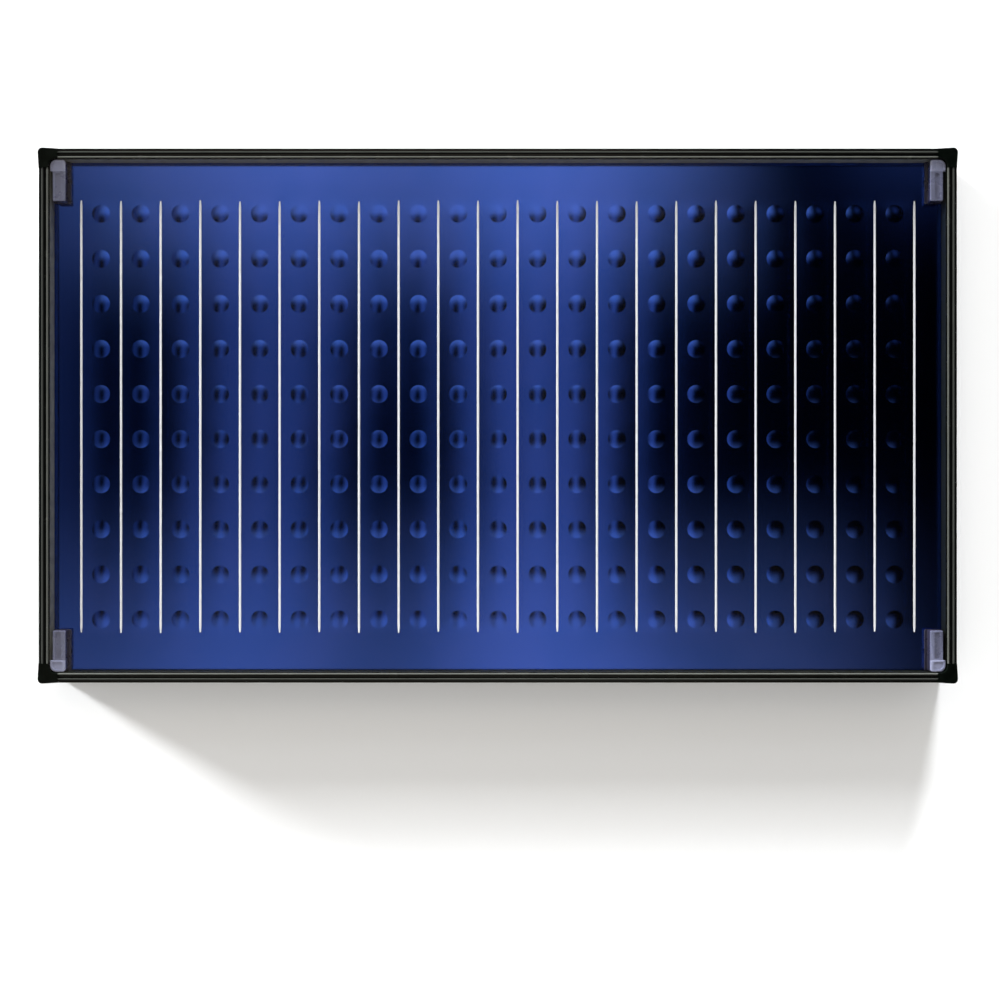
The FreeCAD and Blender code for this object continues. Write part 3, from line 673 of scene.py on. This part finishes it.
seam = {
    "halfWidth": 2.5,
    "section": [(-2.5, 0, 0), (2.5, 0, 0), (2.1, 0.25, 0), (0.8, 0.4, 0), (-0.8, 0.4, 0), (-2.1, 0.25, 0)],
    "length": 960,
    "cuts": 79,
    "wander": 0.14,
    "endDrift": 3.5,
    "endWidth": 0.55,
    "count": 22,
    "bright": (0.78, 0.77, 0.84),
    "dull": (0.62, 0.61, 0.68),
    "pulse": 2.4,  # spacing of the laser's pulses
}


def weldBright(name):
    # bare bright aluminium, one scale-like ripple for each pulse of the laser
    nodes = newFinish(name)
    place = nodes.spots()
    ripple = nodes.add(
        "TexWave", {"bands_direction": "Y", "wave_profile": "SAW"},
        {"Vector": place, "Scale": 1 / (seam["pulse"] * mm) / 20 * math.tau, "Distortion": 1.2, "Detail": 1},
    )
    scorch = nodes.noise(70, 3)
    colour = nodes.blend(nodes.fade(scorch, 0.5, 0.8) * 0.6 + ripple * 0.15, seam["bright"], seam["dull"])
    return nodes.shine(
        Base_Color=colour, Metallic=0.05, Roughness=0.5 + scorch * 0.2, Normal=nodes.bump(ripple, 0.15, 0.4),
    )


def makeSeams():
    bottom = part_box("weld_seams")[0].z
    pitch = (lastRiser.x - firstRiser.x) / (seam["count"] - 1)
    shape = bmesh.new()
    half = seam["length"] / 2
    side = seam["halfWidth"] * mm
    for number in range(seam["count"]):
        line = prism(seam["section"], -half, half, alongX, alongZ)
        long = [edge for edge in line.edges if abs(edge.verts[0].co.y - edge.verts[1].co.y) > tiny]
        bmesh.ops.subdivide_edges(line, edges=long, cuts=seam["cuts"])
        ends = [1 - random.random() * seam["endDrift"] / half for end in range(2)]
        phase = random.random() * math.tau
        for vert in line.verts:
            share = abs(vert.co.y) / (half * mm)
            wave = math.sin(vert.co.y * 31 + phase) + math.sin(vert.co.y * 83 + 2 * phase)
            if share > 0.999:
                vert.co.x *= seam["endWidth"]
            else:
                vert.co.x += seam["wander"] * mm * wave * 0.5
            vert.co.x = max(-side, min(side, vert.co.x))
            vert.co.y *= ends[0 if vert.co.y < 0 else 1]
        bmesh.ops.translate(line, verts=line.verts[:], vec=(firstRiser.x + number * pitch, 0, bottom))
        part = bpy.data.meshes.new("line")
        line.to_mesh(part)
        line.free()
        shape.from_mesh(part)
        bpy.data.meshes.remove(part)
    piece = settle("weldSeams", shape, weldBright("weldBright"))
    finishEdges(piece, 0, angle=50)
    mount(piece, "weld_bright", "weld_seams")


makeSeams()
print("weld seams made")

# Corner inserts: light mouldings under the glass, one over each header socket

insert = {
    # inward from the long-side corner of the insert, height above the sheet
    "flange": [(0, 0, 14), (38.5, 0, 3), (38.5, 91.5, 4), (0, 91.5, 4)],
    "flangeHeight": 4.5,
    "rib": [(5.5, 2, 3), (34, 2, 3), (34, 91, 2.5), (5.5, 91, 2.5)],
    "head": [(0, 0, 14), (33, 0, 5), (33, 26, 3), (0, 26, 3)],
    "height": 22.3,
    "topRound": 1.8,
    "headDish": [(5, 5, 10), (27, 5, 4), (27, 22, 3), (5, 22, 3)],
    "dishDepth": 1.0,
    "trough": [(12.5, 30, 3.5), (24, 30, 3.5), (24, 87, 3.5), (12.5, 87, 3.5)],
    "troughDepth": 1.4,
    "underRib": [(7, 27, 2), (31.5, 27, 2), (31.5, 88, 2), (7, 88, 2)],
    "underRibTop": 16.3,
    "underHead": [(6, 6, 8), (29, 6, 3), (29, 24, 1), (6, 24, 1)],
    "underHeadTop": 18.5,
    "saddle": 13,  # radius of the hollow over the header socket
    "saddleSides": 48,
    "saddleLength": 300,
    "ribDrop": 0.4,  # how far the rib's top lies below the head's
    "edge": 0.5,
    # the head's paler tone over the rib's is a painted highlight
    "headToneLit": (0.28, 0.29, 0.44),
    "ribTone": (0.13, 0.135, 0.215),
    "lowToneShaded": (0.020, 0.018, 0.034),
    "shadeHeights": (19, 21.6),  # above the sheet: painted shade below, so the sheet mirrors no bright line
}


def insertGrey(name):
    # light moulded plastic: soft swirls below a satin skin
    low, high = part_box("corner_insert_rear_right")
    nodes = newFinish(name)
    swirl = nodes.noise(38, 4, roughness=0.6)
    grain = nodes.noise(1300, 1)
    y, z = nodes.axes(1, 2)
    # head against rib: the head gets a painted highlight
    headEnd = high.y - insert["head"][2][1] * mm
    top = nodes.blend(nodes.fade(abs(y), headEnd - mm, headEnd + mm), insert["ribTone"], insert["headToneLit"])
    # painted shade on the low sides and the flange, below the top few millimetres
    first, last = (low.z + height * mm for height in insert["shadeHeights"])
    colour = nodes.blend(nodes.fade(z, first, last) * (1.1 - swirl * 0.4), insert["lowToneShaded"], top)
    return nodes.shine(
        Base_Color=colour, Roughness=0.22 + swirl * 0.12, Normal=nodes.bump(grain, 0.03, 0.2),
        Specular_IOR_Level=0.7,
    )


def makeInsert(name, plastic):
    signX, signY, _ = corners[name]
    low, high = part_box("corner_insert_" + name)
    socketLow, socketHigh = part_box("header_socket_" + name)
    startX = high.x if signX > 0 else low.x
    startY = high.y if signY > 0 else low.y
    head = prism(insert["head"], 0, insert["height"])
    soften(head, insert["topRound"], 4, lambda edge: bothAt(edge, 2, insert["height"]))
    ribTop = insert["height"] - insert["ribDrop"]
    rib = prism(insert["rib"], 0, ribTop)
    soften(rib, insert["topRound"], 4, lambda edge: bothAt(edge, 2, ribTop))
    flange = prism(insert["flange"], 0, insert["flangeHeight"])
    piece = settle("cornerInsert_" + name, flange, plastic)
    saddle = bmesh.new()
    radius = insert["saddle"] * mm
    socketY = abs((socketLow.y + socketHigh.y) / 2 - startY)
    socketZ = (socketLow.z + socketHigh.z) / 2 - low.z
    bmesh.ops.create_cone(
        saddle, cap_ends=True, segments=insert["saddleSides"], radius1=radius, radius2=radius,
        depth=insert["saddleLength"] * mm,
        matrix=Matrix.Translation((0, socketY, socketZ)) @ Matrix.Rotation(math.pi / 2, 4, "Y"),
    )
    top = insert["height"] + 5
    carve(
        piece,
        ("UNION", rib),
        ("UNION", head),
        ("DIFFERENCE", prism(insert["headDish"], insert["height"] - insert["dishDepth"], top)),
        ("DIFFERENCE", prism(insert["trough"], insert["height"] - insert["troughDepth"], top)),
        ("DIFFERENCE", prism(insert["underRib"], -1, insert["underRibTop"])),
        ("DIFFERENCE", prism(insert["underHead"], -1, insert["underHeadTop"])),
        ("DIFFERENCE", saddle),
    )
    finishEdges(piece, insert["edge"])
    flip = Matrix.Diagonal((-signX, -signY, 1, 1))
    piece.data.transform(Matrix.Translation((startX, startY, low.z)) @ flip)
    if signX * signY < 0:
        piece.data.flip_normals()
    mount(piece, "insert_grey", "corner_insert_" + name)


greyPlastic = insertGrey("insertGrey")
for name in corners:
    makeInsert(name, greyPlastic)
print("corner inserts made")

# Back panel: coated steel sheet with three pressed beads

panel = {
    "cornerCut": 50,
    "beadRows": (-260, 0, 260),
    "beadLength": 1780,
    "beadWidth": 26,
    "beadDepth": 1.8,
    "beadSteps": (13.5, 12.5, 11.5, 10.5, 9.5, 8.5),
    "thickness": 0.5,
    "bright": (0.56, 0.57, 0.58),
    "dark": (0.36, 0.37, 0.39),
}


def spangledSteel(name):
    # aluminium-zinc coat: flat crystals of different tones, each with its own sheen
    nodes = newFinish(name)
    crystal = nodes.add("TexVoronoi", {}, {"Vector": nodes.spots(), "Scale": 120}, output=1)
    tone = nodes.add("SeparateColor", {}, {"Color": crystal})
    haze = nodes.noise(9, 4)
    colour = nodes.blend(tone * 0.7 + haze * 0.3, panel["bright"], panel["dark"])
    return nodes.shine(
        Base_Color=colour, Metallic=0.9, Roughness=0.28 + tone * 0.16 + haze * 0.08,
        Normal=nodes.bump(tone, 0.03, 0.3),
    )


def makePanel():
    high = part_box("back_panel")[1]
    bottom = high.z - panel["thickness"] * mm
    shape = bmesh.new()
    bmesh.ops.create_grid(shape, x_segments=1, y_segments=1, size=1)
    bmesh.ops.scale(shape, verts=shape.verts[:], vec=(high.x, high.y, 1))

    def cut(spot, normal, clear=False):
        everything = shape.verts[:] + shape.edges[:] + shape.faces[:]
        bmesh.ops.bisect_plane(
            shape, geom=everything, dist=tiny / 10, plane_co=spot, plane_no=normal, clear_outer=clear
        )

    half = panel["beadWidth"] / 2
    for step in panel["beadSteps"]:
        for sign in (-1, 1):
            cut((sign * (panel["beadLength"] / 2 - half + step) * mm, 0, 0), alongX)
            for row in panel["beadRows"]:
                cut((0, (row + sign * step) * mm, 0), alongY)
    inset = panel["cornerCut"] * mm / 2
    for signX in (-1, 1):
        for signY in (-1, 1):
            spot = (signX * (high.x - inset), signY * (high.y - inset), 0)
            cut(spot, (signX, signY, 0), True)
    first, last = panel["beadSteps"][-1] * mm, panel["beadSteps"][0] * mm
    for vert in shape.verts:
        fall = 0
        for row in panel["beadRows"]:
            past = max(0, abs(vert.co.x) - (panel["beadLength"] / 2 - half) * mm)
            reach = math.hypot(past, vert.co.y - row * mm)
            share = max(0, min(1, (last - reach) / (last - first)))
            fall = max(fall, share * share * (3 - 2 * share))
        vert.co.z = bottom - fall * panel["beadDepth"] * mm
    bmesh.ops.triangulate(shape, faces=[face for face in shape.faces if len(face.verts) > 4])
    piece = settle("backPanel", shape, spangledSteel("spangledSteel"))
    if piece.data.polygons[0].normal.z < 0:
        piece.data.flip_normals()
    piece.data.polygons.foreach_set("use_smooth", [True] * len(piece.data.polygons))
    modify(piece, "SOLIDIFY", thickness=panel["thickness"] * mm, offset=1)
    freeze(piece)
    piece.data.set_sharp_from_angle(angle=math.radians(40))
    mount(piece, "back_steel", "back_panel")


makePanel()
print("back panel made")

# Turned pieces at the ends of the headers: (along, radius, corner radius)

socket = {
    "outline": [
        (0, 9, 0), (10, 9, 0), (10, 8.2, 0), (18, 8.2, 0), (18, 10, 0.3), (44.5, 10, 0.3), (45.5, 11, 0.2),
        (45.5, 12, 0.4), (0, 12, 0.4),
    ],
    "bright": (0.78, 0.60, 0.29),
    "dull": (0.50, 0.36, 0.17),
}
grommet = {
    "outline": [(-22, 12, 0.5), (1.5, 12, 0.5), (1.5, 17.5, 0.7), (0, 19, 0.2), (0, 15, 0), (-22, 15, 0.5)],
}
sensor = {
    "pocket": [(0, 0, 0), (3, 0, 0), (3, 3.1, 0), (130, 3.1, 0.2), (130, 4, 0.2), (0, 4, 0.8)],
    "sleeve": [(-22, 4, 0.4), (1.5, 4, 0.4), (1.5, 8.5, 0.7), (0, 10, 0.2), (0, 6.5, 0), (-22, 6.5, 0.4)],
}


def turnedMetal(name, bright, dull, rings):
    # rings left by the tool, and a slow tarnish
    nodes = newFinish(name)
    cut = nodes.noise(rings, 2, (1, 0.02, 0.02))
    tarnish = nodes.noise(85, 5)
    colour = nodes.blend(nodes.fade(tarnish, 0.42, 0.72), bright, dull)
    return nodes.shine(
        Base_Color=colour, Metallic=1, Roughness=0.22 + tarnish * 0.25, Normal=nodes.bump(cut, 0.02, 0.35),
    )


def placeTurned(name, outline, finish, slotName, node, start, y, z, turn):
    piece = settle(name, turned(outline), finish)
    finishEdges(piece, 0)
    stand(piece, start, y, z, turn)
    mount(piece, slotName, node)


def makePorts(brass, copper, black):
    for name, (signX, signY, _) in corners.items():
        turn = 0 if signX > 0 else 180
        low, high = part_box("header_socket_" + name)
        middle = (low + high) / 2
        inner = low.x if signX > 0 else high.x
        placeTurned(
            "headerSocket_" + name, socket["outline"], brass, "brass", "header_socket_" + name,
            inner, middle.y, middle.z, turn,
        )
        placeTurned(
            "headerGrommet_" + name, grommet["outline"], black, "grommet_rubber", "header_grommet_" + name,
            signX * faceX, middle.y, middle.z, turn,
        )
    low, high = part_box("sensor_pocket")
    middle = (low + high) / 2
    placeTurned(
        "sensorPocket", sensor["pocket"], copper, "copper", "sensor_pocket", low.x, middle.y, middle.z, 0,
    )
    placeTurned(
        "sensorGrommet", sensor["sleeve"], black, "grommet_rubber", "sensor_grommet",
        faceX, middle.y, middle.z, 0,
    )


# Copper, for the sensor pocket and the harp

harp = {
    "bright": (0.80, 0.42, 0.28),
    "oxide": (0.34, 0.15, 0.10),
}


def drawnCopper(name):
    nodes = newFinish(name)
    oxide = nodes.noise(48, 5)
    scratch = nodes.noise(1500, 2, (1, 0.03, 1))
    colour = nodes.blend(nodes.fade(oxide, 0.45, 0.78), harp["bright"], harp["oxide"])
    return nodes.shine(
        Base_Color=colour, Metallic=1, Roughness=0.25 + oxide * 0.3, Normal=nodes.bump(scratch, 0.02, 0.3),
    )


brass = turnedMetal("turnedBrass", socket["bright"], socket["dull"], 2600)
copper = drawnCopper("drawnCopper")
makePorts(brass, copper, rubber)
print("sockets and grommets made")

# The harp and the wool keep their own meshes and get their finishes here

wool = {
    "pale": (0.52, 0.45, 0.26),
    "dark": (0.22, 0.18, 0.10),
}


def mineralWool(name):
    nodes = newFinish(name)
    fibre = nodes.noise(700, 6, (1, 0.25, 3), 0.7)
    clump = nodes.noise(60, 4)
    colour = nodes.blend(nodes.fade(fibre * 0.7 + clump * 0.3, 0.35, 0.65), wool["pale"], wool["dark"])
    return nodes.shine(Base_Color=colour, Roughness=0.95, Normal=nodes.bump(fibre, 1.5, 0.8))


def coat(starts, finish):
    for name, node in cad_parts.items():
        if name.startswith(starts):
            for slot in node.material_slots:
                slot.material = finish


coat(("riser_tube", "header_tube"), copper)
coat(("wool_slab",), mineralWool("mineralWool"))
print("harp and wool finished")

# Studio: floor, sky, one ceiling of soft lamps, two low keys and a wide fill, camera

studio = {
    "floorSize": 60,  # metres, as is all in this dictionary
    "floor": (0.855, 0.875, 0.90),
    "skyLow": 1.05,
    "skyFrom": 0.40,  # sine of the elevation where the sky starts to darken
    "skyTo": 0.78,
    "panelHeight": 3.0,
    "ceilingReach": (4.2, 4.2),
    # centre x and y, half width, half depth, strength, then the shares of width and depth that fade,
    # how much it widens per metre away from the middle, and how far it leans per metre
    "strips": [
        (-1.246, 0, 0.62, 4.2, 0.33, 1.0, 0.1, 0.3, 0.12),
        (0.197, 0, 0.62, 4.2, 0.46, 1.0, 0.1, 0.3, 0),
        (-2.75, 0, 0.80, 4.2, 0.20, 1.0, 0.1, 0, 0),
        (0.75, -1.4, 0.55, 0.95, 0.20, 1.0, 1.0, 0, 0),
        (2.2, 1.9, 0.70, 0.80, 0.16, 1.0, 1.0, 0, 0),
        (-0.3, -0.9, 1.3, 1.0, 0.05, 1.0, 1.0, 0, 0),
    ],
    "boxes": [
        (-0.54, 2.45, 2.16, 1.80, 0.59, 0.42, 0.60, 0, 0),
        (-0.35, -2.5, 2.85, 2.48, 0.34, 0.42, 0.50, 0, 0),
    ],
    "boxTint": (1.6, 1.35),  # red and green, against blue
    # where it comes from, elevation, spread, strength
    "keyLeft": ((-0.84, 0.54), 6.2, 10, 14.8),
    "keyRear": ((0.12, 0.99), 8, 12, 11.2),
    "fill": ((0, 0), 90, 130, 3.5),
    "cameraHeight": 2.19,
    "cameraSpot": (0.0048, -0.185),
    "lens": 36,
    "sensorWidth": 36,
}


def makeFloor():
    shape = bmesh.new()
    bmesh.ops.create_grid(shape, x_segments=1, y_segments=1, size=studio["floorSize"] / 2)
    nodes = newFinish("paleFloor")
    grain = nodes.noise(300, 2)
    finish = nodes.shine(
        Base_Color=studio["floor"], Roughness=0.85 + grain * 0.1, Specular_IOR_Level=0.1,
    )
    floor = settle("floor", shape, finish)


def makeSky():
    world = bpy.data.worlds.new("studio")
    bpy.context.scene.world = world
    nodes = NodeTree(world)
    way = nodes.add("TexCoord", output=0)
    up = nodes.add("SeparateXYZ", {}, {"Vector": way}, output=2)
    colour = nodes.blend(nodes.fade(up, studio["skyFrom"], studio["skyTo"]), (1, 1, 1), (0, 0, 0))
    light = nodes.add("Background", {}, {"Color": colour, "Strength": studio["skyLow"]})
    nodes.add("OutputWorld", {}, {"Surface": light})


def makeCeiling():
    # a hanging light panel with soft lamps behind its cloth
    reachX, reachY = studio["ceilingReach"]
    shape = bmesh.new()
    bmesh.ops.create_grid(shape, x_segments=1, y_segments=1, size=1)
    bmesh.ops.scale(shape, verts=shape.verts[:], vec=(reachX, reachY, 1))
    bmesh.ops.translate(shape, verts=shape.verts[:], vec=(0, 0, cadBounds[1].z + studio["panelHeight"]))
    nodes = newFinish("lightCloth")
    x, y = nodes.axes(0, 1)

    def glow(lamps):
        total = 0
        for lampX, lampY, halfX, halfY, strength, fadeX, fadeY, flare, lean in lamps:
            reach = abs(y) * flare + 1
            acrossX = nodes.fade(abs(x - lampX - y * lean), reach * halfX, reach * (halfX * (1 - fadeX)))
            acrossY = nodes.fade(abs(y - lampY), halfY, halfY * (1 - fadeY))
            total = acrossX * acrossY * strength + total
        return total

    strips = glow(studio["strips"])
    boxes = glow(studio["boxes"])
    red, green = studio["boxTint"]
    parts = {"Red": boxes * red + strips, "Green": boxes * green + strips, "Blue": boxes + strips}
    colour = nodes.add("CombineColor", {}, parts)
    light = nodes.add("Emission", {}, {"Color": colour, "Strength": 1})
    ceiling = settle("ceiling", shape, nodes.show(light))
    ceiling.visible_camera = False


def makeKey(name):
    (x, y), elevation, spread, strength = studio[name]
    lamp = bpy.data.lights.new(name, "SUN")
    lamp.energy = strength
    lamp.angle = math.radians(spread)
    key = bpy.data.objects.new(name, lamp)
    tilt = math.radians(elevation)
    way = Vector((x, y, 0)).normalized() * math.cos(tilt) + alongZ * math.sin(tilt)
    key.rotation_euler = way.to_track_quat("Z", "Y").to_euler()
    key.visible_glossy = False
    bpy.context.scene.collection.objects.link(key)


def makeCamera():
    view = bpy.data.cameras.new("camera")
    view.lens = studio["lens"]
    view.sensor_width = studio["sensorWidth"]
    camera = bpy.data.objects.new("camera", view)
    camera.location = (*studio["cameraSpot"], cadBounds[1].z + studio["cameraHeight"])
    bpy.context.scene.collection.objects.link(camera)
    bpy.context.scene.camera = camera


makeFloor()
makeSky()
makeCeiling()
for name in ("keyLeft", "keyRear", "fill"):
    makeKey(name)
makeCamera()
bpy.context.scene.view_settings.view_transform = "Standard"
print("studio made")
